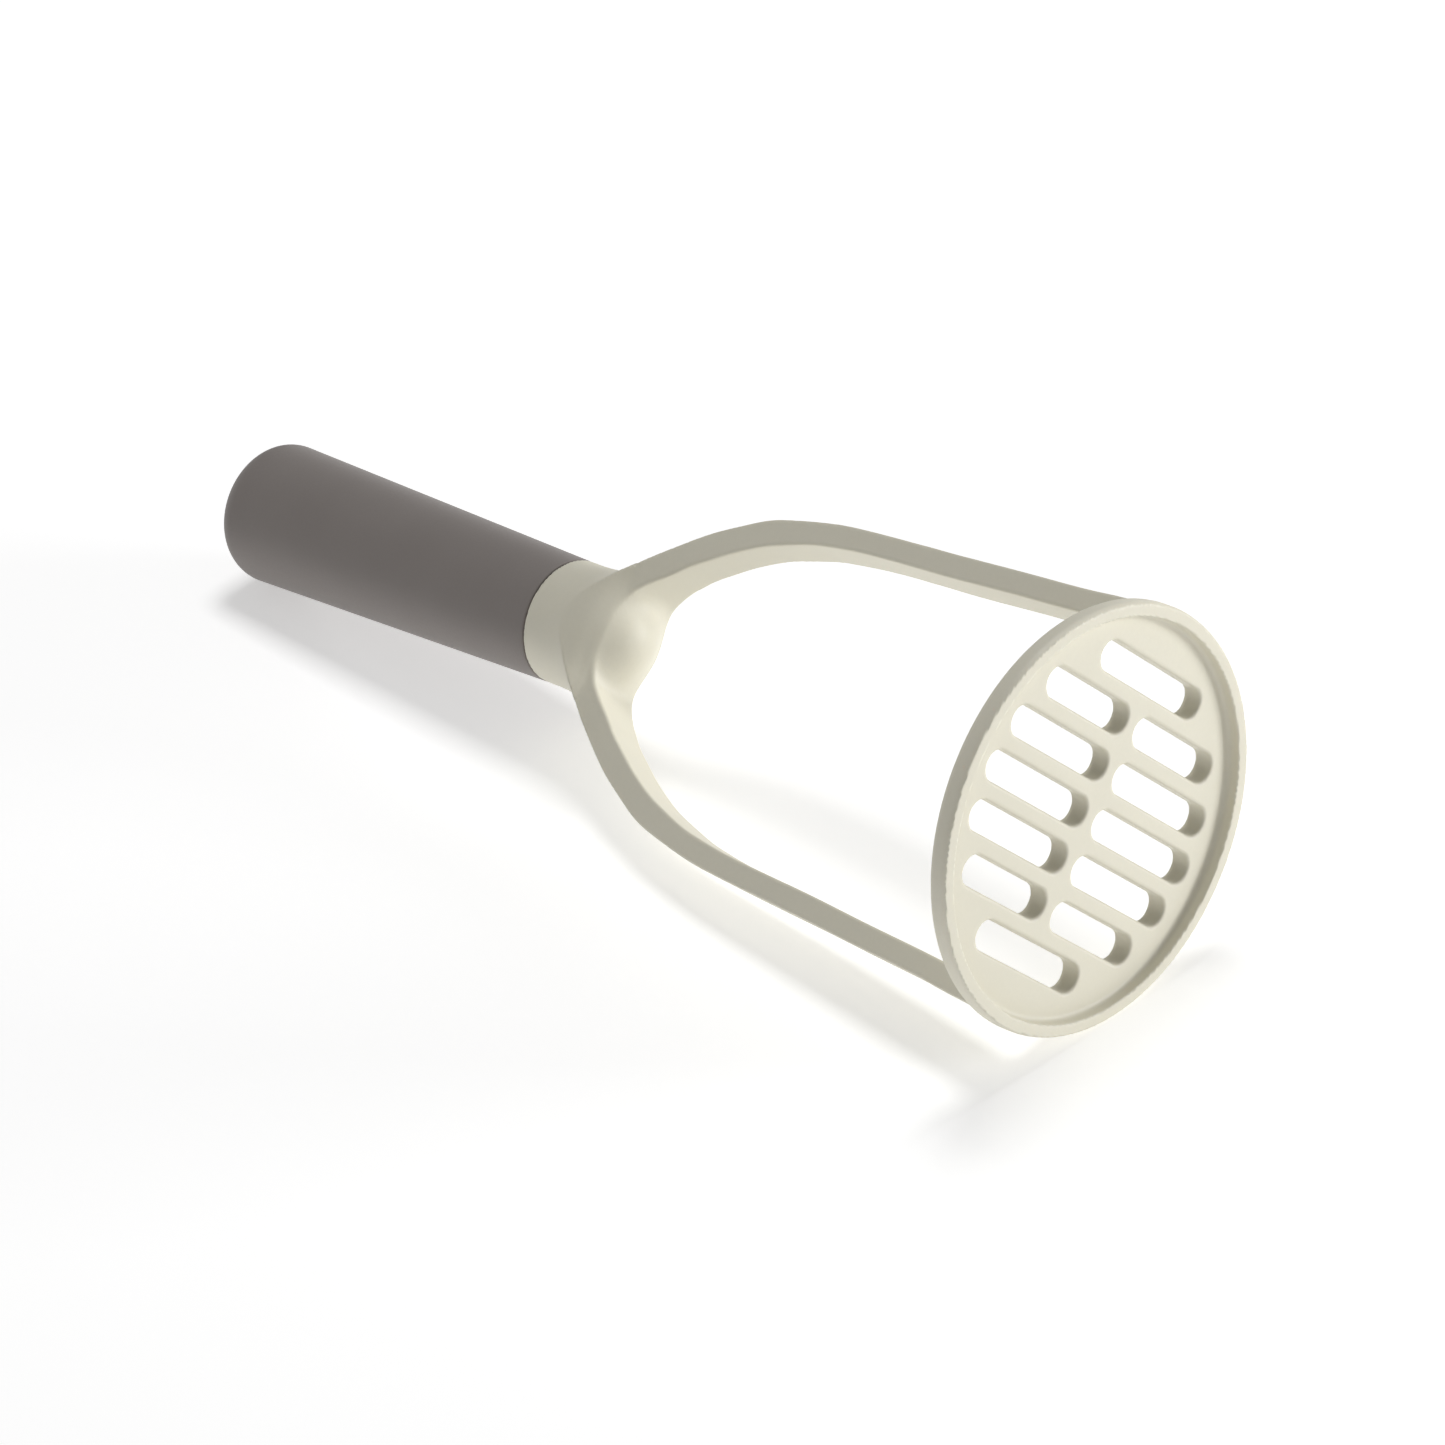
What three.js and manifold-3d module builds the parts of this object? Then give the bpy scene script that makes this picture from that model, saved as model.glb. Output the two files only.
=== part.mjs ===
// Hand potato masher. Millimetres, +Z up. The mashing face rests on z = 0 and the handle stands on the Z axis.
// Rows of slots run along Y, and the two arms of the yoke stand at +X and -X.
import * as THREE from 'three';
import { mergeVertices } from 'three/addons/utils/BufferGeometryUtils.js';
import Module from 'manifold-3d';

const wasm = await Module();
wasm.setup();

// ---- driving dimensions ----
const DISC_RADIUS = 43;
const RIM_HEIGHT = 3.9; // height of the disc's outer wall
const LIP_WIDTH = 2.8; // flat ring that touches the board
const RECESS_DEPTH = 2.5; // slotted field lies this far inside the lip
const PLATE_THICKNESS = 4.4; // material at the slots
const BACK_BEVEL = 3.4; // radial run of the slope from the rim to the thicker plate
const RIM_ROUNDING = 0.8;

const SLOT_WIDTH = 6.2;
const SLOT_PITCH = 9.6;
const SLOT_BORDER = 7.9; // from the slots' outer ends to the disc's edge
const CENTRE_WEB = 3.3; // between the two slots of a row

const ARM_WIDTH = 13;
const ARM_THICKNESS = 5.1;
const SHOULDER_THINNING = 0.94; // arm's thickness at the shoulder, as a share of that at the foot
const FOOT_INSET = 1.2; // arm's outer face from the disc's edge, at the plate
const ARM_SPLAY = 0.06; // sideways lean of the straight arms, per mm of height
const SHOULDER_DROP = 70.5; // from the seam down to the end of the straight arms
const NECK_LENGTH = 19.5; // from the seam down to the underside of the yoke

const COLLAR_TOP = 145.6; // seam between the collar and the handle
const COLLAR_RADIUS = 13.2;
const COLLAR_LENGTH = 10.2; // cylinder above the yoke's side faces
const COLLAR_CHAMFER = 0.4;
const DOME_RADIUS = 11.5; // rounded end of the neck between the arms

const HANDLE_LENGTH = 96.1; // from the collar's top to the butt
const GRIP_START_RADIUS = 13.15;
const GRIP_END_RADIUS = 15.3;
const BUTT_ROUNDING = 5.5;
const BUTT_CROWN = 0.9; // rise of the end face at its middle
const GRIP_WALL = 2.3;
const CORE_WALL = 2.6;
const END_WALL = 3.2; // grip's closed end

const TANG_LENGTH = 66;
const TANG_RIB = 3.2;
const TANG_TAPER = 0.014; // loss of radius per mm, for draft
const BARB_RISE = 0.7;
const BARB_LENGTH = 5;
const BARB_FROM_TIP = 8;

const SEAM_GAP = 0.35; // shadow line between collar and handle
const FIT_GAP = 0.3; // between parts that sit inside each other

const NYLON = { color: 0xdcd8c6, roughness: 0.5 };
const POLYPROPYLENE = { color: 0xb9b6aa, roughness: 0.55 };
const SOFT_GRIP = { color: 0x6f6864, roughness: 0.7 };

const ROUND_STEPS = 60; // facets of the disc, collar and handle
const CURVE_STEPS = 8;
const BUTT_STEPS = 6;
const QUARTER_STEPS = 4; // facets of a small rounding
const WELD = 1e-4; // vertices closer than this are one

// Curve handles of the yoke's outer side: [sideways, up], as shares of the rise from the shoulder to the collar.
const SHOULDER_HANDLE = [-0.019, 0.27];
const BEND_LOWER_HANDLE = [0.135, -0.193];
const BEND_UPPER_HANDLE = [-0.078, 0.112];
const COLLAR_HANDLE = [0, -0.075];
const BEND_ACROSS = 0.4; // place of the bend between the collar and the shoulder
const BEND_UP = 0.742;

// Its inner side, as shares of the rise from the shoulder to the crotch.
const INNER_SHOULDER_HANDLE = [-0.019, 0.47];
const CROTCH_HANDLE = [0.24, -0.2];
const CROTCH_CROWN = 0.05;
const CROTCH_SPAN = 0.69; // half width of the crotch, as a share of the collar's radius

// Its width across Y, as shares of the flare's height down from the collar.
const FLARE_START = 1.5;
const FLARE_BEND = 0.5;
const FLARE_TOP = 0.28;
const FLARE_SPREAD = 0.35;

const CROWN_KNEE = [0.33, 0.12]; // butt's crown: share of the radius, and how much of the rise is lost there

// ---- helpers ----
function solid(geometry) {
  const bare = geometry.clone();
  bare.deleteAttribute('normal');
  bare.deleteAttribute('uv');
  const merged = mergeVertices(bare, WELD);
  const index = Array.from(merged.index.array);
  const triangles = [];
  for (let i = 0; i < index.length; i += 3) {
    const [a, b, c] = index.slice(i, i + 3);
    if (a !== b && b !== c && c !== a) {
      triangles.push(a, b, c);
    }
  }
  return new wasm.Manifold(new wasm.Mesh({
    numProp: 3,
    vertProperties: new Float32Array(merged.attributes.position.array),
    triVerts: new Uint32Array(triangles),
  }));
}

// A profile of [radius, height] points, turned about Z. It runs from the axis at the bottom to the axis at the top.
function turned(profile) {
  const points = profile.map(([radius, height]) => new THREE.Vector2(radius, height));
  return solid(new THREE.LatheGeometry(points, ROUND_STEPS).rotateX(Math.PI / 2));
}

// A shape drawn in X and Z, given a thickness along Y that is centred on the XZ plane.
function acrossY(shape, width) {
  const options = { depth: width, bevelEnabled: false, curveSegments: CURVE_STEPS };
  return solid(new THREE.ExtrudeGeometry(shape, options).rotateX(Math.PI / 2).translate(0, width / 2, 0));
}

// A shape drawn in Y and Z, given a thickness along X that is centred on the YZ plane.
function acrossX(shape, width) {
  const options = { depth: width, bevelEnabled: false, curveSegments: CURVE_STEPS };
  const geometry = new THREE.ExtrudeGeometry(shape, options).rotateX(Math.PI / 2).rotateZ(Math.PI / 2);
  return solid(geometry.translate(-width / 2, 0, 0));
}

// A shape drawn in X and Y, raised from one height to another.
function upright(shape, bottom, top) {
  const options = { depth: top - bottom, bevelEnabled: false, curveSegments: CURVE_STEPS };
  return solid(new THREE.ExtrudeGeometry(shape, options).translate(0, 0, bottom));
}

// Points of a quarter round in [radius, height], from one angle to another about a centre.
function arcPoints(centreRadius, centreHeight, radius, from, to, steps = QUARTER_STEPS) {
  return Array.from({ length: steps + 1 }, (_, i) => {
    const angle = from + (to - from) * i / steps;
    return [centreRadius + radius * Math.cos(angle), centreHeight + radius * Math.sin(angle)];
  });
}

function bezierPoints(a, b, c, d) {
  const curve = new THREE.CubicBezierCurve(...[a, b, c, d].map(([x, y]) => new THREE.Vector2(x, y)));
  return curve.getPoints(CURVE_STEPS).map((point) => [point.x, point.y]);
}

function shapeOf(points) {
  return new THREE.Shape(points.map(([x, y]) => new THREE.Vector2(x, y)));
}

// A closed outline from its right half, which runs from the bottom up.
function mirrored(half) {
  return shapeOf([...half, ...half.filter(([x]) => x > 0).map(([x, y]) => [-x, y]).reverse()]);
}

function sub(name, body, finish) {
  const { numProp, vertProperties, triVerts } = body.getMesh();
  const position = new Float32Array(vertProperties.length / numProp * 3);
  for (let i = 0; i < position.length; i += 1) {
    position[i] = vertProperties[Math.floor(i / 3) * numProp + i % 3];
  }
  const geometry = new THREE.BufferGeometry();
  geometry.setAttribute('position', new THREE.BufferAttribute(position, 3));
  geometry.setIndex(new THREE.BufferAttribute(new Uint32Array(triVerts), 1));
  geometry.computeVertexNormals();
  const mesh = new THREE.Mesh(geometry, new THREE.MeshStandardMaterial({ ...finish, metalness: 0 }));
  mesh.name = name;
  return mesh;
}

// ---- slotted disc ----
const plateBack = RECESS_DEPTH + PLATE_THICKNESS;
const lipInner = DISC_RADIUS - LIP_WIDTH;
const fieldRadius = lipInner - RECESS_DEPTH;

function discBlank() {
  return turned([
    [0, RECESS_DEPTH],
    ...arcPoints(fieldRadius, 0, RECESS_DEPTH, Math.PI / 2, 0),
    ...arcPoints(DISC_RADIUS - RIM_ROUNDING, RIM_ROUNDING, RIM_ROUNDING, -Math.PI / 2, 0),
    ...arcPoints(DISC_RADIUS - RIM_ROUNDING, RIM_HEIGHT - RIM_ROUNDING, RIM_ROUNDING, 0, Math.PI / 2),
    [DISC_RADIUS - BACK_BEVEL, plateBack],
    [0, plateBack],
  ]);
}

// One slot with round ends: its row's x, and the y of its two end centres.
function slotCutter(x, from, to) {
  const shape = new THREE.Shape();
  shape.absarc(x, to, SLOT_WIDTH / 2, 0, Math.PI, false);
  shape.absarc(x, from, SLOT_WIDTH / 2, Math.PI, 2 * Math.PI, false);
  return upright(shape, -RIM_HEIGHT, plateBack + RIM_HEIGHT);
}

// Rows of two slots fill the field, and the first and last row are one slot each.
function slottedDisc() {
  const endCircle = DISC_RADIUS - SLOT_BORDER - SLOT_WIDTH / 2;
  const outerEnd = (x) => Math.sqrt(endCircle ** 2 - x ** 2);
  const innerEnd = (CENTRE_WEB + SLOT_WIDTH) / 2;
  const lastRow = Math.floor(endCircle / SLOT_PITCH);
  let disc = discBlank();
  for (let row = 1 - lastRow; row < lastRow; row += 1) {
    const x = row * SLOT_PITCH;
    disc = disc.subtract(slotCutter(x, innerEnd, outerEnd(x)));
    disc = disc.subtract(slotCutter(x, -outerEnd(x), -innerEnd));
  }
  for (const x of [-lastRow * SLOT_PITCH, lastRow * SLOT_PITCH]) {
    disc = disc.subtract(slotCutter(x, -outerEnd(x), outerEnd(x)));
  }
  return disc;
}

// ---- yoke: two arms that run up from the disc's edge and meet in the neck ----
const footHeight = plateBack - PLATE_THICKNESS / 2;
const shoulderHeight = COLLAR_TOP - SHOULDER_DROP;
const crotchHeight = COLLAR_TOP - NECK_LENGTH;
const footOuter = DISC_RADIUS - FOOT_INSET;
const shoulderOuter = footOuter - ARM_SPLAY * (shoulderHeight - footHeight);
const shoulderInner = shoulderOuter - ARM_THICKNESS * SHOULDER_THINNING;
const collarBottom = COLLAR_TOP - COLLAR_LENGTH;

// A point moved by a curve handle whose two shares are of one length.
function moved([x, z], [across, up], length) {
  return [x + across * length, z + up * length];
}

// Outer side of the arm, from the foot over the shoulder to the collar.
function outerLine() {
  const rise = collarBottom - shoulderHeight;
  const shoulder = [shoulderOuter, shoulderHeight];
  const bendX = COLLAR_RADIUS + BEND_ACROSS * (shoulderOuter - COLLAR_RADIUS);
  const bend = [bendX, shoulderHeight + BEND_UP * rise];
  const lower = [moved(shoulder, SHOULDER_HANDLE, rise), moved(bend, BEND_LOWER_HANDLE, rise)];
  const upper = [
    moved(bend, BEND_UPPER_HANDLE, rise),
    moved([COLLAR_RADIUS, collarBottom], COLLAR_HANDLE, rise),
  ];
  return [
    [footOuter, footHeight],
    ...bezierPoints(shoulder, ...lower, bend),
    ...bezierPoints(bend, ...upper, [COLLAR_RADIUS, COLLAR_TOP - COLLAR_CHAMFER]).slice(1),
  ];
}

// Inner side of the arm, from the foot to the crotch.
function innerLine() {
  const rise = crotchHeight - shoulderHeight;
  const shoulder = [shoulderInner, shoulderHeight];
  const top = [COLLAR_RADIUS * CROTCH_SPAN, crotchHeight];
  const handles = [moved(shoulder, INNER_SHOULDER_HANDLE, rise), moved(top, CROTCH_HANDLE, rise)];
  return [
    [footOuter - ARM_THICKNESS, footHeight - PLATE_THICKNESS],
    ...bezierPoints(shoulder, ...handles, top),
    [0, crotchHeight + CROTCH_CROWN * rise],
  ];
}

// Half width of the yoke across Y, from the arms up to the collar.
function widthLine() {
  const armHalf = ARM_WIDTH / 2;
  const flareHeight = collarBottom - crotchHeight + ARM_WIDTH;
  const down = (share) => collarBottom - share * flareHeight;
  return [
    [armHalf, footHeight],
    ...bezierPoints(
      [armHalf, down(FLARE_START)],
      [armHalf, down(FLARE_BEND)],
      [armHalf + FLARE_SPREAD * (COLLAR_RADIUS - armHalf), down(FLARE_TOP)],
      [COLLAR_RADIUS + FIT_GAP, collarBottom],
    ),
    [COLLAR_RADIUS + FIT_GAP, COLLAR_TOP],
  ];
}

function yoke() {
  const full = 2 * DISC_RADIUS;
  const outer = outerLine();
  const roundness = (x) => (x - COLLAR_RADIUS) / (shoulderOuter - COLLAR_RADIUS);
  const trumpet = turned([
    [0, footHeight],
    [full, footHeight],
    [full, shoulderHeight],
    ...outer.slice(1).map(([x, z]) => [Math.hypot(x, roundness(x) * ARM_WIDTH / 2), z]),
    [COLLAR_RADIUS - COLLAR_CHAMFER, COLLAR_TOP],
    [0, COLLAR_TOP],
  ]);
  const silhouette = mirrored([...outer, [COLLAR_RADIUS, COLLAR_TOP]]);
  const window = mirrored(innerLine());
  const dome = turned([
    ...arcPoints(0, crotchHeight + DOME_RADIUS, DOME_RADIUS, -Math.PI / 2, 0, CURVE_STEPS),
    [0, crotchHeight + DOME_RADIUS],
  ]);
  return acrossY(silhouette, full)
    .intersect(acrossX(mirrored(widthLine()), full))
    .intersect(trumpet)
    .subtract(acrossY(window, full))
    .add(dome);
}

// ---- tang: crossed ribs that hold the head in the handle's core ----
const boreRadius = GRIP_START_RADIUS - GRIP_WALL - FIT_GAP - CORE_WALL;
const tangRadius = boreRadius - FIT_GAP;
const tangTop = COLLAR_TOP + TANG_LENGTH;
const barbTop = tangTop - BARB_FROM_TIP;
const tangRadiusAt = (z) => tangRadius - TANG_TAPER * (z - COLLAR_TOP);
const boreRadiusAt = (z) => boreRadius - TANG_TAPER * (z - COLLAR_TOP);

function tang() {
  const half = TANG_RIB / 2;
  const reach = tangRadius + BARB_RISE;
  const root = COLLAR_TOP - COLLAR_LENGTH / 2;
  const rib = (a, b) => upright(shapeOf([[-a, -b], [a, -b], [a, b], [-a, b]]), root, tangTop);
  const barbBottom = barbTop - BARB_LENGTH;
  const envelope = turned([
    [0, root],
    [tangRadius, root],
    [tangRadiusAt(barbBottom), barbBottom],
    [tangRadiusAt(barbBottom) + BARB_RISE, barbBottom],
    [tangRadiusAt(barbTop), barbTop],
    [tangRadiusAt(tangTop), tangTop],
    [0, tangTop],
  ]);
  return rib(reach, half).add(rib(half, reach)).intersect(envelope);
}

// ---- handle: rigid core with a blind bore, inside a soft closed sleeve ----
const handleStart = COLLAR_TOP + SEAM_GAP;
const buttTop = COLLAR_TOP + HANDLE_LENGTH;
const gripTop = buttTop - BUTT_CROWN;
const gripSlope = (GRIP_END_RADIUS - GRIP_START_RADIUS) / (gripTop - BUTT_ROUNDING - handleStart);
const gripRadiusAt = (z) => GRIP_START_RADIUS + gripSlope * (z - handleStart);
const coreTop = buttTop - END_WALL - FIT_GAP;
const coreRounding = BUTT_ROUNDING - GRIP_WALL / 2;
const coreRadiusAt = (z) => gripRadiusAt(z) - GRIP_WALL - FIT_GAP;

function handleCore() {
  const boreTop = coreTop - CORE_WALL;
  const roundStart = coreTop - coreRounding;
  const grooveTop = barbTop + FIT_GAP;
  const grooveBottom = barbTop - BARB_LENGTH - FIT_GAP;
  const body = turned([
    [0, handleStart],
    [coreRadiusAt(handleStart), handleStart],
    ...arcPoints(coreRadiusAt(roundStart) - coreRounding, roundStart, coreRounding, 0, Math.PI / 2),
    [0, coreTop],
  ]);
  const bore = turned([
    [0, COLLAR_TOP - COLLAR_LENGTH],
    [boreRadius, COLLAR_TOP - COLLAR_LENGTH],
    [boreRadiusAt(grooveBottom), grooveBottom],
    [boreRadiusAt(grooveBottom) + BARB_RISE, grooveBottom],
    [boreRadiusAt(grooveTop) + BARB_RISE, grooveTop],
    [boreRadiusAt(grooveTop), grooveTop],
    [boreRadiusAt(boreTop), boreTop],
    [0, boreTop],
  ]);
  return body.subtract(bore);
}

function gripSleeve() {
  const roundStart = gripTop - BUTT_ROUNDING;
  const cavityTop = buttTop - END_WALL;
  const cavityRound = cavityTop - coreRounding;
  const body = turned([
    [0, handleStart],
    [GRIP_START_RADIUS - COLLAR_CHAMFER, handleStart],
    [GRIP_START_RADIUS, handleStart + COLLAR_CHAMFER],
    ...arcPoints(GRIP_END_RADIUS - BUTT_ROUNDING, roundStart, BUTT_ROUNDING, 0, Math.PI / 2, BUTT_STEPS),
    [GRIP_END_RADIUS * CROWN_KNEE[0], buttTop - BUTT_CROWN * CROWN_KNEE[1]],
    [0, buttTop],
  ]);
  const cavityRadius = (z) => coreRadiusAt(z) + FIT_GAP;
  const cavity = turned([
    [0, COLLAR_TOP - COLLAR_LENGTH],
    [cavityRadius(handleStart), COLLAR_TOP - COLLAR_LENGTH],
    [cavityRadius(handleStart), handleStart],
    ...arcPoints(cavityRadius(cavityRound) - coreRounding, cavityRound, coreRounding, 0, Math.PI / 2),
    [0, cavityTop],
  ]);
  return body.subtract(cavity);
}

const group = new THREE.Group();
group.add(sub('masher_head', slottedDisc().add(yoke()).add(tang()), NYLON));
group.add(sub('handle_core', handleCore(), POLYPROPYLENE));
group.add(sub('grip_sleeve', gripSleeve(), SOFT_GRIP));

export default group;
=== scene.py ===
import bpy
import numpy as np
from mathutils import Matrix, Vector


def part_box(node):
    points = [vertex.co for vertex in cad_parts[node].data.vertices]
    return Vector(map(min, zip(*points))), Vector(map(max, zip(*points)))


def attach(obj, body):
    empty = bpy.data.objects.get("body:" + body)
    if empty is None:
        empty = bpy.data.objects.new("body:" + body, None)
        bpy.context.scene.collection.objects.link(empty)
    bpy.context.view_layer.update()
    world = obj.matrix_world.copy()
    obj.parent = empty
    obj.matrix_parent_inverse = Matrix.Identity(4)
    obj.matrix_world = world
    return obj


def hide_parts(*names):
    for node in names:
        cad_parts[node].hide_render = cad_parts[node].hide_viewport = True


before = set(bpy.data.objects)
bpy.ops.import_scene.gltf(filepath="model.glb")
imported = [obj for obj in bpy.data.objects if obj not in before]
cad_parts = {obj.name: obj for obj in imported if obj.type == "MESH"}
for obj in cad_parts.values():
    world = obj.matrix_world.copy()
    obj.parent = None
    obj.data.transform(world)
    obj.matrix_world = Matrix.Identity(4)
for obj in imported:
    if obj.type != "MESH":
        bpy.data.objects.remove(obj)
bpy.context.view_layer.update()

# ---- Camera ----
# The masher lies rolled over on a table, seen from below its mashing face. The part stays upright here, so the
# camera is turned instead: it looks up at the slotted face, and its own up is the table's far edge.
EYE = Vector((-0.08306711, -0.86599447, -0.65840993))
BACKWARD = Vector((-0.06515173, -0.75219296, -0.65571411)).normalized()
EYE_UP = Vector((0.90950198, -0.31512077, 0.27111815))
LENS = 143.5774
SENSOR = 36.0

rightward = EYE_UP.cross(BACKWARD).normalized()
camera_data = bpy.data.cameras.new("camera")
camera_data.sensor_width = SENSOR
camera_data.lens = LENS
camera_data.clip_start = 0.01
camera = bpy.data.objects.new("camera", camera_data)
camera.matrix_world = Matrix((rightward, BACKWARD.cross(rightward), BACKWARD)).transposed().to_4x4()
camera.location = EYE
bpy.context.scene.collection.objects.link(camera)
bpy.context.scene.camera = camera
bpy.context.scene.view_settings.view_transform = "Standard"

# ---- Moulded head: slotted disc, two arms, neck and collar ----
# One injection moulding in glass-filled nylon. The disc carries rows of round-ended slots inside a raised lip, and
# the yoke's two flat arms run up from its edge, bend over at the shoulder and flow together into a round collar.
# Every edge is a small moulded radius, and the underside of the neck is a soft dome.


def box_mm(node):
    """Lowest and highest corner of a CAD node in millimetres, to a hundredth."""
    return [np.round(np.array(corner) * 1000, 2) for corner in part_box(node)]


grip_low, grip_high = box_mm("grip_sleeve")
SEAM_GAP = 0.35
COLLAR_TOP = grip_low[2] - SEAM_GAP
DISC_RADIUS = box_mm("masher_head")[1][0]
RIM_HEIGHT = 3.9
LIP_WIDTH = 2.8
RECESS = 2.5  # depth of the slotted field inside the lip
RECESS_FILLET = 1.2
PLATE_BACK = 6.9
BACK_BEVEL = 3.4
RIM_ROUND = 1.4
EDGE_LAND = 0.8  # flat ring between the rim's wall and the bevel
BACK_BLEND = 0.8
BACK_ROUND = 1.2
PLATE_EDGE = 0.5
RIM_INSET = 0.6  # the plate stops this far inside the rim's wall
SLOT_HALF = 3.1
SLOT_PITCH = 9.6
SLOT_CIRCLE = 32.0  # radius on which the outer end centres of the slots lie
SLOT_INNER = 4.75
LAST_ROW = 3
COLLAR_RADIUS = 13.2
ARM_HALF = 6.5
STEEPEST = 3.0  # slope of the outline beyond which it counts as level
ARM_REACH = 24.0  # from the collar's side out to the straight part of an arm
DOME_RADIUS = 11.0
DOME_CENTRE = 134.9
DOME_BLEND = 4.0
FOOT = 6.2  # the arms stop here, inside the plate
FOOT_FILLET = 2.2
CELL = 0.55
SIDE_MARGIN, END_MARGIN = 0.8, 0.9
SOFT_EDGE = 0.7
CRISP_EDGE = 0.35

# Half of the yoke seen from the front: [height, distance from the middle], from the foot up.
OUTER_SIDE = np.array([
    [2.0, 41.9], [12.6, 41.2], [22.0, 40.4], [37.0, 39.6], [52.0, 38.7], [64.0, 38.1], [76.5, 37.4], [85.6, 36.6],
    [97.0, 34.6], [103.4, 32.9], [110.1, 29.8], [115.8, 26.8], [120.8, 23.5], [125.2, 20.0], [129.0, 16.7],
    [132.0, 14.7], [135.0, 13.6], [138.0, 13.25], [141.0, 13.2], [145.6, 13.2]])
INNER_SIDE = np.array([
    [2.0, 36.9], [20.0, 35.6], [37.0, 34.7], [53.0, 33.7], [67.0, 33.1], [77.0, 32.5], [85.0, 31.6], [90.5, 30.7],
    [97.0, 28.9], [102.2, 27.2], [108.3, 24.3], [113.0, 21.5], [117.4, 18.7], [120.1, 16.5], [123.6, 13.5],
    [126.0, 10.9], [127.6, 8.2], [128.7, 5.6], [129.2, 2.8], [129.3, 0.0]])


def smooth_path(points, steps=12):
    """Catmull-Rom curve through the points: each span is a cubic whose end slopes are half its neighbours' chord."""
    padded = np.vstack([2 * points[0] - points[1], points, 2 * points[-1] - points[-2]])
    t = np.linspace(0, 1, steps, endpoint=False)[:, None, None]
    a, b, c, d = padded[:-3], padded[1:-2], padded[2:-1], padded[3:]
    curve = 0.5 * (2 * b + (c - a) * t + (2 * a - 5 * b + 4 * c - d) * t**2 + (3 * b - a - 3 * c + d) * t**3)
    return np.vstack([curve.transpose(1, 0, 2).reshape(-1, 2), points[-1]])


def larger(a, b, edge):
    """Maximum of two distances with a round of about that radius where they cross: it joins two cuts."""
    h = np.maximum(edge - np.abs(a - b), 0) / edge
    return np.maximum(a, b) + h * h * edge * 0.25


def smaller(a, b, edge):
    """Minimum of two distances, filled with a fillet of about that radius: it joins two bodies."""
    return -larger(-a, -b, edge)


def outline_grid(low, high, step):
    """Signed distance to the yoke's front view on a grid of (distance from the middle, height).

    The distance of each grid point to each straight piece of the outline is taken, and the least is kept. It is
    negative where the point is between the inner and the outer side.
    """
    outer, inner = smooth_path(OUTER_SIDE), smooth_path(INNER_SIDE)
    top, bottom, beyond = COLLAR_TOP + 5, -3.0, -16.0
    loop = np.vstack([outer, [[top, outer[-1, 1]], [top, beyond], [inner[-1, 0], beyond]],
                      inner[::-1], [[bottom, inner[0, 1]], [bottom, outer[0, 1]]]])[:, ::-1]
    x = np.arange(low[0], high[0], step)
    z = np.arange(low[1], high[1], step)
    px, pz = np.meshgrid(x, z, indexing="ij")
    best = np.full(px.shape, 1e9)
    inside = np.zeros(px.shape, bool)
    for (ax, az), (bx, bz) in zip(loop, np.roll(loop, -1, axis=0)):
        dx, dz = bx - ax, bz - az
        t = np.clip(((px - ax) * dx + (pz - az) * dz) / (dx * dx + dz * dz + 1e-12), 0, 1)
        best = np.minimum(best, (px - ax - t * dx) ** 2 + (pz - az - t * dz) ** 2)
        if dz != 0:
            inside ^= ((az > pz) != (bz > pz)) & (px < ax + (pz - az) * dx / dz)
    return np.where(inside, -1, 1) * np.sqrt(best)


OUTLINE_LOW, OUTLINE_HIGH, OUTLINE_STEP = (-1.0, -2.0), (46.0, 151.0), 0.2
outline = outline_grid(OUTLINE_LOW, OUTLINE_HIGH, OUTLINE_STEP)


def front_view(x, z):
    """The outline's signed distance at any point, read off its grid in a straight line between grid points."""
    u = np.clip((x - OUTLINE_LOW[0]) / OUTLINE_STEP, 0, outline.shape[0] - 1.001)
    v = np.clip((z - OUTLINE_LOW[1]) / OUTLINE_STEP, 0, outline.shape[1] - 1.001)
    i, j = u.astype(int), v.astype(int)
    s, t = u - i, v - j
    return (outline[i, j] * (1 - s) * (1 - t) + outline[i + 1, j] * s * (1 - t)
            + outline[i, j + 1] * (1 - s) * t + outline[i + 1, j + 1] * s * t)


outer_path = smooth_path(OUTER_SIDE)
# Half width of the yoke across Y by height, from the feet to the collar.
ARM_WIDTH = np.array([[0.0, 6.5], [40.0, 6.5], [60.0, 6.4], [77.0, 6.1], [89.0, 5.6], [100.0, 5.0], [110.0, 4.8],
                      [120.0, 5.0], [123.5, 5.6], [127.3, 7.1], [129.0, 8.5], [131.0, 10.5], [133.5, 12.3],
                      [135.4, 13.3], [138.0, 14.6], [150.0, 20.0]])
width_path = smooth_path(ARM_WIDTH)


def yoke(x, y, z):
    """Distance to the yoke: the front view cut by its two side faces and by the round of the collar, plus a dome."""
    across = np.abs(x)
    arms = larger(front_view(across, z), np.abs(y) - np.interp(z, width_path[:, 0], width_path[:, 1]), SOFT_EDGE)
    reach = np.interp(z, outer_path[:, 0], outer_path[:, 1])
    spread = np.clip((reach - COLLAR_RADIUS) / ARM_REACH, 0, 1)
    turned = np.hypot(x, y) - np.hypot(reach, spread * ARM_HALF)
    slope = np.gradient(outer_path[:, 1], outer_path[:, 0])
    steep = np.interp(z, outer_path[:, 0], np.sqrt(1 + np.clip(slope, -STEEPEST, STEEPEST) ** 2))
    arms = larger(arms, turned / steep, CRISP_EDGE)
    dome = np.sqrt(x**2 + y**2 + (z - DOME_CENTRE) ** 2) - DOME_RADIUS
    arms = smaller(arms, dome, DOME_BLEND)
    return larger(arms, z - COLLAR_TOP, CRISP_EDGE)


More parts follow.
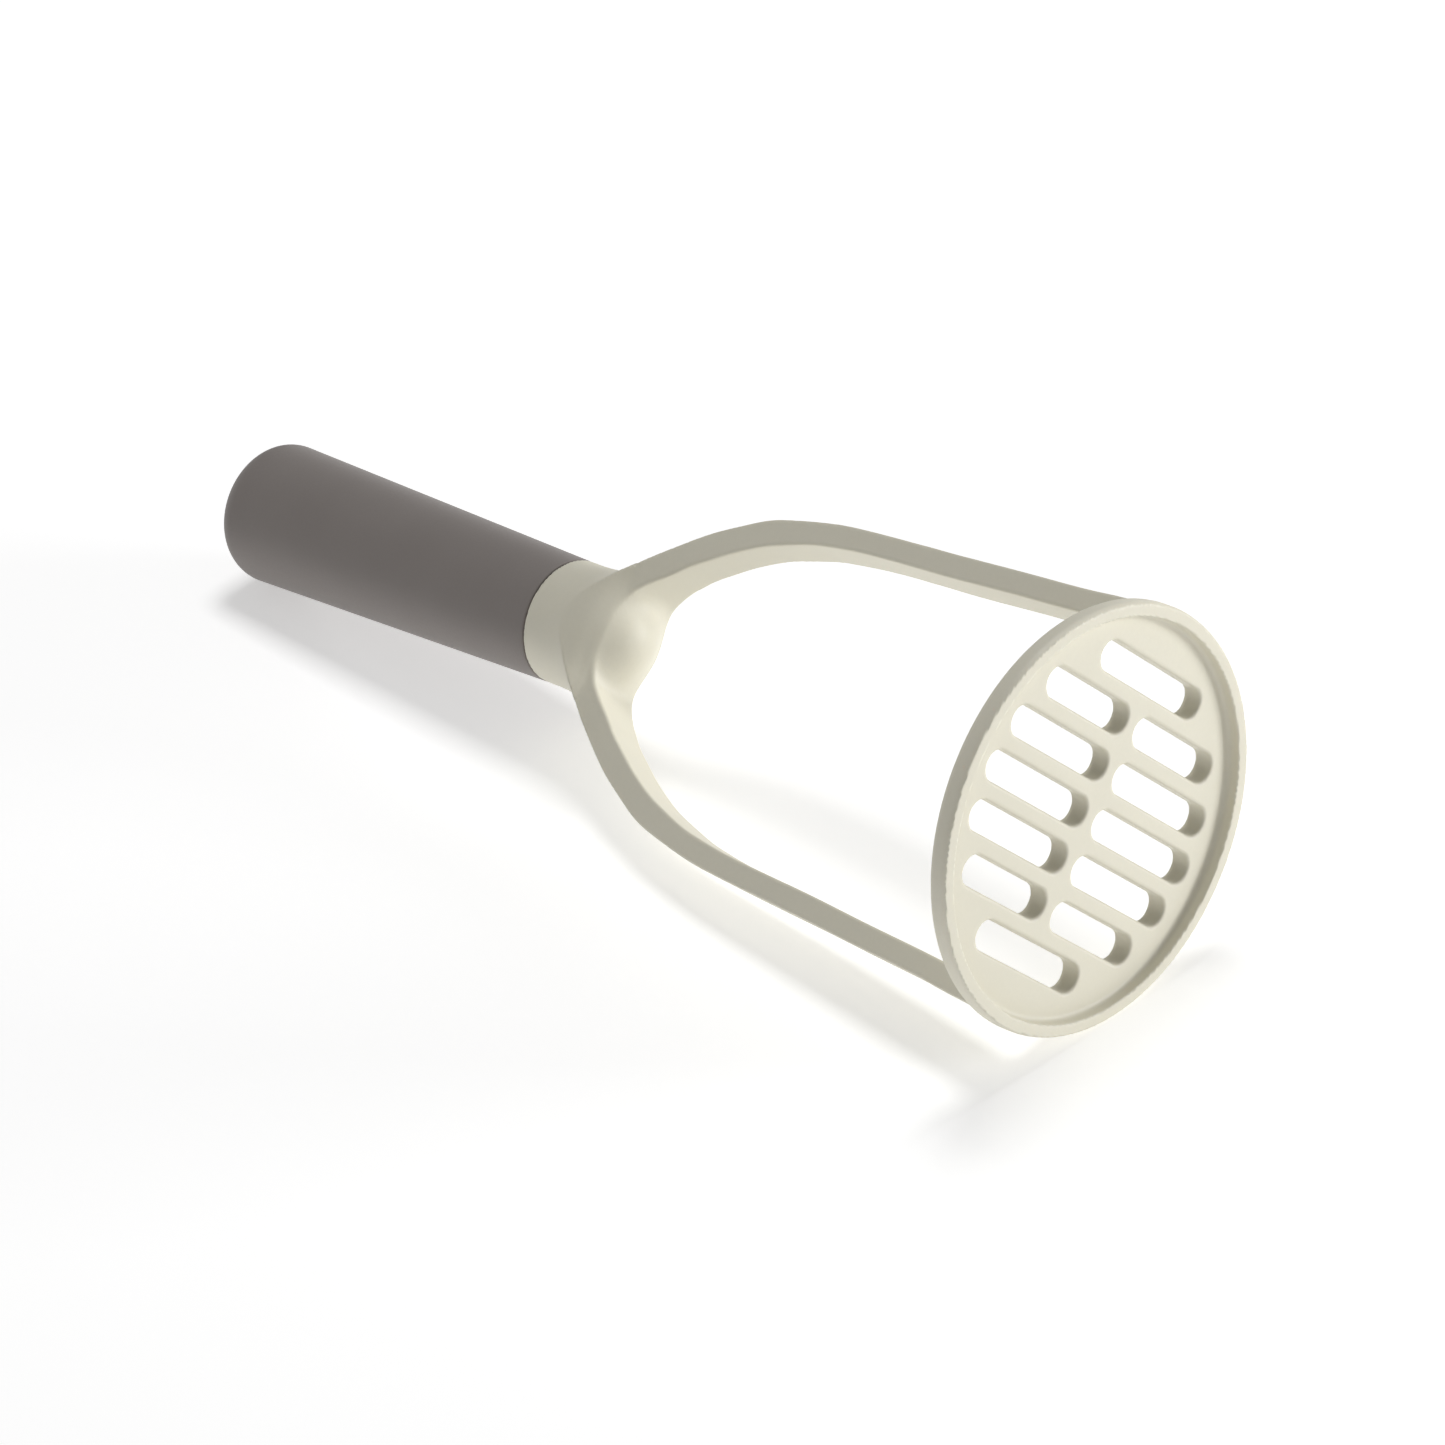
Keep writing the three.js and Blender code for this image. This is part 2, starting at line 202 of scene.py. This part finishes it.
def disc(x, y, z):
    """Distance to the disc before its face is sunk: a turned blank, less the round-ended slots."""
    r = np.hypot(x, y)
    rim = larger(r - DISC_RADIUS, np.maximum(-z, z - RIM_HEIGHT), RIM_ROUND)
    run = PLATE_BACK - RIM_HEIGHT
    bevel = ((z - RIM_HEIGHT) * BACK_BEVEL + (r - DISC_RADIUS + EDGE_LAND) * run) / np.hypot(BACK_BEVEL, run)
    back = larger(bevel, z - PLATE_BACK, BACK_ROUND)
    plate = larger(back, np.maximum(r - DISC_RADIUS + RIM_INSET, -z), PLATE_EDGE)
    blank = smaller(rim, plate, BACK_BLEND)
    row = np.clip(np.round(x / SLOT_PITCH), -LAST_ROW, LAST_ROW)
    centre = row * SLOT_PITCH
    end = np.sqrt(SLOT_CIRCLE**2 - centre**2)
    single = np.abs(row) == LAST_ROW
    middle = 0.5 * (end + SLOT_INNER)
    half = np.where(single, end, 0.5 * (end - SLOT_INNER))
    along = np.where(single, np.abs(y), np.abs(np.abs(y) - middle))
    slot = np.hypot(x - centre, np.maximum(along - half, 0)) - SLOT_HALF
    return larger(blank, -slot, SOFT_EDGE)


def masher_head(x, y, z):
    """Distance to the whole moulding: disc and yoke with a fillet where the arms leave it, less the sunk face."""
    both = smaller(disc(x, y, z), yoke(x, y, np.maximum(z, FOOT)) + np.maximum(FOOT - z, 0), FOOT_FILLET)
    r = np.hypot(x, y)
    sunk = larger(r - (DISC_RADIUS - LIP_WIDTH), z - RECESS, RECESS_FILLET)
    return np.maximum(larger(both, -sunk, SOFT_EDGE), np.maximum(r - DISC_RADIUS, -z))


def net_surface(distance, low, high, cell):
    """Closed surface where a distance is zero, on a grid of cubes.

    Each cube that the surface crosses gets one vertex at the mean of its crossed edges, moved onto the surface along
    the slope. Each grid edge with a change of sign gets one face through the four cubes around it.
    """
    axes = [np.arange(a, b + cell, cell) for a, b in zip(low, high)]
    field = np.stack([distance(*np.meshgrid(axes[0], axes[1], [height], indexing="ij"))[..., 0]
                      for height in axes[2]], axis=2)
    solid = field < 0
    shape = np.array(field.shape) - 1
    corners = [(i, j, k) for i in (0, 1) for j in (0, 1) for k in (0, 1)]
    part = [solid[i:i + shape[0], j:j + shape[1], k:k + shape[2]] for i, j, k in corners]
    active = np.logical_or.reduce(part) & ~np.logical_and.reduce(part)
    cells = np.argwhere(active)
    number = np.full(active.shape, -1)
    number[active] = np.arange(len(cells))
    value = np.stack([field[tuple((cells + c).T)] for c in corners], axis=1)
    total = np.zeros((len(cells), 3))
    count = np.zeros((len(cells), 1))
    for a in range(8):
        for b in range(a + 1, 8):
            step = np.subtract(corners[b], corners[a])
            if np.abs(step).sum() != 1:
                continue
            crossed = (value[:, a] < 0) != (value[:, b] < 0)
            t = np.where(crossed, value[:, a] / (value[:, a] - value[:, b] + 1e-12), 0)[:, None]
            total += np.where(crossed[:, None], np.array(corners[a]) + t * step, 0)
            count += crossed[:, None]
    points = np.array(low) + (cells + total / count) * cell
    faces = []
    for axis in range(3):
        other = [n for n in range(3) if n != axis]
        here = [slice(1, -1)] * 3
        here[axis] = slice(0, -1)
        there = list(here)
        there[axis] = slice(1, None)
        first, second = solid[tuple(here)], solid[tuple(there)]
        edge = np.argwhere(first != second) + [0 if n == axis else 1 for n in range(3)]
        rising = first[first != second]
        ring = []
        for u, v in ((0, 0), (1, 0), (1, 1), (0, 1)):
            near = edge.copy()
            near[:, other[0]] -= u
            near[:, other[1]] -= v
            ring.append(number[tuple(near.T)])
        quad = np.stack(ring, axis=1)
        flip = rising if axis == 1 else ~rising
        quad[flip] = quad[flip][:, ::-1]
        faces.append(quad)
    for _ in range(3):
        slope = gradient(distance, points)
        size = np.linalg.norm(slope, axis=1, keepdims=True) + 1e-9
        move = -distance(*points.T)[:, None] * slope / size**2
        points += np.clip(move, -0.5 * cell, 0.5 * cell)
    return points, np.vstack(faces)


def gradient(distance, points, reach=0.08):
    """Slope of a distance at each point, from its values a little way off along each axis."""
    shift = np.eye(3) * reach
    return np.stack([distance(*(points + s).T) - distance(*(points - s).T) for s in shift], axis=1) / (2 * reach)


def piece(name, points, faces, material, normals=None):
    """Puts points in millimetres and rows of vertex numbers into a smooth-shaded mesh object on body root."""
    mesh = bpy.data.meshes.new(name)
    mesh.from_pydata((points / 1000).tolist(), [], faces)
    mesh.shade_smooth()
    if normals is not None:
        mesh.normals_split_custom_set_from_vertices(normals.tolist())
    mesh.materials.append(material)
    made = bpy.data.objects.new(name, mesh)
    bpy.context.scene.collection.objects.link(made)
    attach(made, "root")
    return made


def linear(code):
    """sRGB hex colour as linear red, green, blue and a full alpha."""
    srgb = np.array([int(code[i:i + 2], 16) for i in (1, 3, 5)]) / 255
    low, high = srgb / 12.92, ((srgb + 0.055) / 1.055) ** 2.4
    return (*np.where(srgb <= 0.04045, low, high).tolist(), 1.0)


def add(tree, kind, settings=None, inputs=None):
    """Adds one node, sets its properties, and sets or links its inputs by name or number."""
    node = tree.nodes.new(kind)
    for key, value in (settings or {}).items():
        setattr(node, key, value)
    for key, value in (inputs or {}).items():
        if isinstance(value, bpy.types.NodeSocket):
            tree.links.new(value, node.inputs[key])
        else:
            node.inputs[key].default_value = value
    return node


def new_material(name):
    """An empty node material with its output, and its object coordinates in millimetres."""
    material = bpy.data.materials.new(name)
    material.use_nodes = True
    tree = material.node_tree
    tree.nodes.clear()
    place = add(tree, "ShaderNodeTexCoord").outputs["Object"]
    mm = add(tree, "ShaderNodeVectorMath", {"operation": "SCALE"}, {0: place, "Scale": 1000.0}).outputs[0]
    return material, tree, mm


# Glass-filled nylon in stone white, moulded in a spark-eroded tool: an even, faintly pebbled satin that hides the
# glass fibres, with slow drifts of tone where the melt flowed. GRAIN and FLOW are feature sizes in millimetres.
GRAIN = 0.9
FLOW = 22.0


def moulded_nylon():
    material, tree, mm = new_material("glass_filled_nylon_satin")
    grain = add(tree, "ShaderNodeTexNoise", {}, {"Vector": mm, "Scale": 1 / GRAIN, "Detail": 3.0, "Roughness": 0.6})
    flow = add(tree, "ShaderNodeTexNoise", {}, {"Vector": mm, "Scale": 1 / FLOW, "Detail": 2.0})
    tone = add(tree, "ShaderNodeMix", {"data_type": "RGBA"}, {
        "Factor": flow.outputs[0], 6: linear("#dedac9"), 7: linear("#e4e0cf")})
    speck = add(tree, "ShaderNodeMix", {"data_type": "RGBA"}, {
        "Factor": grain.outputs[0], 6: linear("#dcd8c7"), 7: tone.outputs[2]})
    rough = add(tree, "ShaderNodeMapRange", {}, {
        "Value": grain.outputs[0], "From Min": 0.3, "From Max": 0.7, "To Min": 0.46, "To Max": 0.56})
    bump = add(tree, "ShaderNodeBump", {}, {"Height": grain.outputs[0], "Strength": 0.25, "Distance": 0.00006})
    shader = add(tree, "ShaderNodeBsdfPrincipled", {}, {
        "Base Color": speck.outputs[2], "Roughness": rough.outputs[0], "Normal": bump.outputs[0], "IOR": 1.53,
        "Subsurface Weight": 0.12, "Subsurface Radius": (1.0, 0.9, 0.7), "Subsurface Scale": 0.0012})
    add(tree, "ShaderNodeOutputMaterial", {}, {"Surface": shader.outputs[0]})
    return material


reach = DISC_RADIUS + SIDE_MARGIN
low, high = (-reach, -reach, -END_MARGIN), (reach, reach, COLLAR_TOP + END_MARGIN)
points, faces = net_surface(masher_head, low, high, CELL)
slope = gradient(masher_head, points)
slope /= np.linalg.norm(slope, axis=1, keepdims=True)
head = piece("nylon_head", points, faces.tolist(), moulded_nylon(), slope)
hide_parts("masher_head")

# ---- Handle core ----
# A rigid tube in natural polypropylene that takes the head's ribbed tang, closed at its far end. It is moulded first
# and stays hidden inside the soft grip, so only its open end would show if the head were pulled out.
HAZE = 9.0


def natural_polypropylene():
    material, tree, mm = new_material("natural_polypropylene")
    haze = add(tree, "ShaderNodeTexNoise", {}, {"Vector": mm, "Scale": 1 / HAZE, "Detail": 2.0})
    tone = add(tree, "ShaderNodeMix", {"data_type": "RGBA"}, {
        "Factor": haze.outputs[0], 6: linear("#b4b1a5"), 7: linear("#bfbcb0")})
    shader = add(tree, "ShaderNodeBsdfPrincipled", {}, {
        "Base Color": tone.outputs[2], "Roughness": 0.45, "IOR": 1.49, "Subsurface Weight": 0.2,
        "Subsurface Radius": (1.0, 1.0, 0.9), "Subsurface Scale": 0.002})
    add(tree, "ShaderNodeOutputMaterial", {}, {"Surface": shader.outputs[0]})
    return material


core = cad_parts["handle_core"]
core.data.materials.clear()
core.data.materials.append(natural_polypropylene())

# ---- Soft grip ----
# Thermoplastic elastomer in warm taupe, moulded over the core. It swells slightly towards a rounded, closed butt. Its
# surface is a fine matte texture that looks dry and soft, with a weak sheen along its edges.
GRIP_START = 13.15
GRIP_END = grip_high[0]
SEAM = grip_low[2]
BUTT_TOP = grip_high[2]
BUTT_ROUND = 5.5
CROWN = 0.9
SLEEVE_WALL = 2.3
END_WALL = 3.2
CAVITY_ROUND = 4.35
AXIS_RING = 0.02  # radius of the rings that close the surface on the axis
POWDER, CLOUD = 0.5, 16.0  # feature sizes of the matte texture and of its drifts of tone
LIP_RISE, LIP_DEPTH = 0.35, 0.9
# The lip at the seam: [from the grip's first radius, above the seam], from the cavity outwards.
LIP = np.array([[-SLEEVE_WALL, 0.02], [-0.45, 0.0], [-0.15, 0.06], [-0.02, 0.2]])


def turned_surface(profile, sides=160):
    """Profile of (radius, height) turned about Z: point = (radius cos a, radius sin a, height).

    The first and last ring are tiny and get a flat cap each, so the surface is closed.
    """
    angle = np.linspace(0, 2 * np.pi, sides, endpoint=False)
    ring = np.stack([np.outer(profile[:, 0], np.cos(angle)), np.outer(profile[:, 0], np.sin(angle)),
                     np.repeat(profile[:, 1:], sides, axis=1)], axis=2).reshape(-1, 3)
    row, column = np.meshgrid(np.arange(len(profile) - 1), np.arange(sides), indexing="ij")
    a = row * sides + column
    b = row * sides + (column + 1) % sides
    walls = np.stack([a, b, b + sides, a + sides], axis=2).reshape(-1, 4).tolist()
    return ring, [list(range(sides))[::-1], *walls, list(range(len(ring) - sides, len(ring)))]


def grip_profile():
    """Section of the grip: from the middle of the cavity's end down its wall, round the lip and up the outside.

    Outside it is a straight swell, a quarter round and a crown of CROWN (1 - share^2). The cavity keeps SLEEVE_WALL.
    """
    side_top = BUTT_TOP - CROWN - BUTT_ROUND
    height = np.linspace(SEAM + LIP_RISE, side_top, 90)
    radius = GRIP_START + (GRIP_END - GRIP_START) * (height - SEAM) / (side_top - SEAM)
    a = np.linspace(0, np.pi / 2, 24)[1:]
    edge = np.stack([GRIP_END - BUTT_ROUND * (1 - np.cos(a)), side_top + BUTT_ROUND * np.sin(a)], axis=1)
    r = np.linspace(GRIP_END - BUTT_ROUND, AXIS_RING, 24)[1:]
    share = r / (GRIP_END - BUTT_ROUND)
    crown = np.stack([r, BUTT_TOP - CROWN + CROWN * (1 - share**2)], axis=1)
    cavity_top = BUTT_TOP - END_WALL
    down_wall = np.linspace(cavity_top - CAVITY_ROUND, SEAM + LIP_DEPTH, 30)
    wall = GRIP_START - SLEEVE_WALL + (GRIP_END - GRIP_START) * (down_wall - SEAM) / (side_top - SEAM)
    b = np.linspace(np.pi / 2, 0, 12)[:-1]
    corner = np.stack([wall[0] - CAVITY_ROUND * (1 - np.cos(b)), down_wall[0] + CAVITY_ROUND * np.sin(b)], axis=1)
    cavity = np.vstack([[[AXIS_RING, cavity_top]], corner, np.stack([wall, down_wall], axis=1)])
    return np.vstack([cavity, LIP + [GRIP_START, SEAM], np.stack([radius, height], axis=1), edge, crown])


def soft_elastomer():
    material, tree, mm = new_material("soft_touch_elastomer_matte")
    grain = add(tree, "ShaderNodeTexNoise", {}, {"Vector": mm, "Scale": 1 / POWDER, "Detail": 3.0, "Roughness": 0.6})
    cloud = add(tree, "ShaderNodeTexNoise", {}, {"Vector": mm, "Scale": 1 / CLOUD, "Detail": 2.0})
    tone = add(tree, "ShaderNodeMix", {"data_type": "RGBA"}, {
        "Factor": cloud.outputs[0], 6: linear("#827b77"), 7: linear("#89827e")})
    rough = add(tree, "ShaderNodeMapRange", {}, {
        "Value": grain.outputs[0], "From Min": 0.3, "From Max": 0.7, "To Min": 0.62, "To Max": 0.74})
    bump = add(tree, "ShaderNodeBump", {}, {"Height": grain.outputs[0], "Strength": 0.4, "Distance": 0.00008})
    shader = add(tree, "ShaderNodeBsdfPrincipled", {}, {
        "Base Color": tone.outputs[2], "Roughness": rough.outputs[0], "Normal": bump.outputs[0], "IOR": 1.5,
        "Sheen Weight": 0.15, "Sheen Roughness": 0.5})
    add(tree, "ShaderNodeOutputMaterial", {}, {"Surface": shader.outputs[0]})
    return material


points, faces = turned_surface(grip_profile())
grip = piece("soft_grip", points, faces, soft_elastomer())
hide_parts("grip_sleeve")

# ---- Table and light ----
# A plain white table that the rim and the butt both rest on, seen only from its upper side, in a bright white room.
# Two soft boxes of one size light it: one stands off the mashing face and one hangs over the table.
RIM_SIDE = Vector((-0.72, 0.69, 0.0)).normalized()
RIM_MIDDLE = 2.0
BUTT_DROP = 6.7  # from the butt's top down to where its side is widest
CLEARANCE = 0.1
SPAN = 4.0  # half of the table's side, in metres


def table_plane():
    """A point of the table and its downward normal: the plane that touches the rim and the grip near its butt."""
    rim, butt = (DISC_RADIUS + CLEARANCE) / 1000, (GRIP_END + CLEARANCE) / 1000
    lean = (butt - rim) / ((BUTT_TOP - BUTT_DROP - RIM_MIDDLE) / 1000)
    normal = Vector((RIM_SIDE.x, RIM_SIDE.y, -lean)).normalized()
    return RIM_SIDE * rim + Vector((0, 0, RIM_MIDDLE / 1000)), normal


touch, down = table_plane()
side = down.orthogonal().normalized()
other = down.cross(side)
mesh = bpy.data.meshes.new("table")
corners = [touch + side * u * SPAN + other * v * SPAN for u, v in ((-1, -1), (1, -1), (1, 1), (-1, 1))]
mesh.from_pydata([tuple(c) for c in corners], [], [(0, 1, 2, 3)])
if mesh.polygons[0].normal.dot(-down) < 0:
    mesh.flip_normals()
floor = bpy.data.objects.new("table", mesh)
bpy.context.scene.collection.objects.link(floor)

paper = bpy.data.materials.new("white_paper")
paper.use_nodes = True
tree = paper.node_tree
tree.nodes.clear()
behind = add(tree, "ShaderNodeNewGeometry").outputs["Backfacing"]
white = add(tree, "ShaderNodeBsdfDiffuse", {}, {"Color": linear("#f8f8f8")})
glow = add(tree, "ShaderNodeEmission", {}, {"Strength": 0.4})
lit = add(tree, "ShaderNodeAddShader", {}, {0: white.outputs[0], 1: glow.outputs[0]})
clear = add(tree, "ShaderNodeBsdfTransparent")
either = add(tree, "ShaderNodeMixShader", {}, {0: behind, 1: lit.outputs[0], 2: clear.outputs[0]})
add(tree, "ShaderNodeOutputMaterial", {}, {"Surface": either.outputs[0]})
mesh.materials.append(paper)

world = bpy.data.worlds.new("room")
bpy.context.scene.world = world
world.use_nodes = True
tree = world.node_tree
tree.nodes.clear()
seen = add(tree, "ShaderNodeLightPath").outputs["Is Camera Ray"]
strength = add(tree, "ShaderNodeMapRange", {}, {"Value": seen, "To Min": 0.24, "To Max": 1.0})
room = add(tree, "ShaderNodeBackground", {}, {"Color": (1, 1, 1, 1), "Strength": strength.outputs[0]})
add(tree, "ShaderNodeOutputWorld", {}, {"Surface": room.outputs[0]})


def soft_box(name, towards, distance, size, power):
    """A square lamp that stands off the object's middle in one direction and faces it."""
    middle = Vector((0, 0, 0.09))
    lamp = bpy.data.objects.new(name, bpy.data.lights.new(name, "AREA"))
    lamp.data.energy = power
    lamp.data.size = size
    lamp.location = middle + Vector(towards).normalized() * distance
    lamp.rotation_mode = "QUATERNION"
    lamp.rotation_quaternion = (lamp.location - middle).to_track_quat("Z", "Y")
    bpy.context.scene.collection.objects.link(lamp)


soft_box("face_box", (0.48, 0.48, -0.73), 1.2, 0.5, 10.3)
soft_box("top_box", (0.85, -0.48, 0.05), 1.5, 0.5, 9.0)
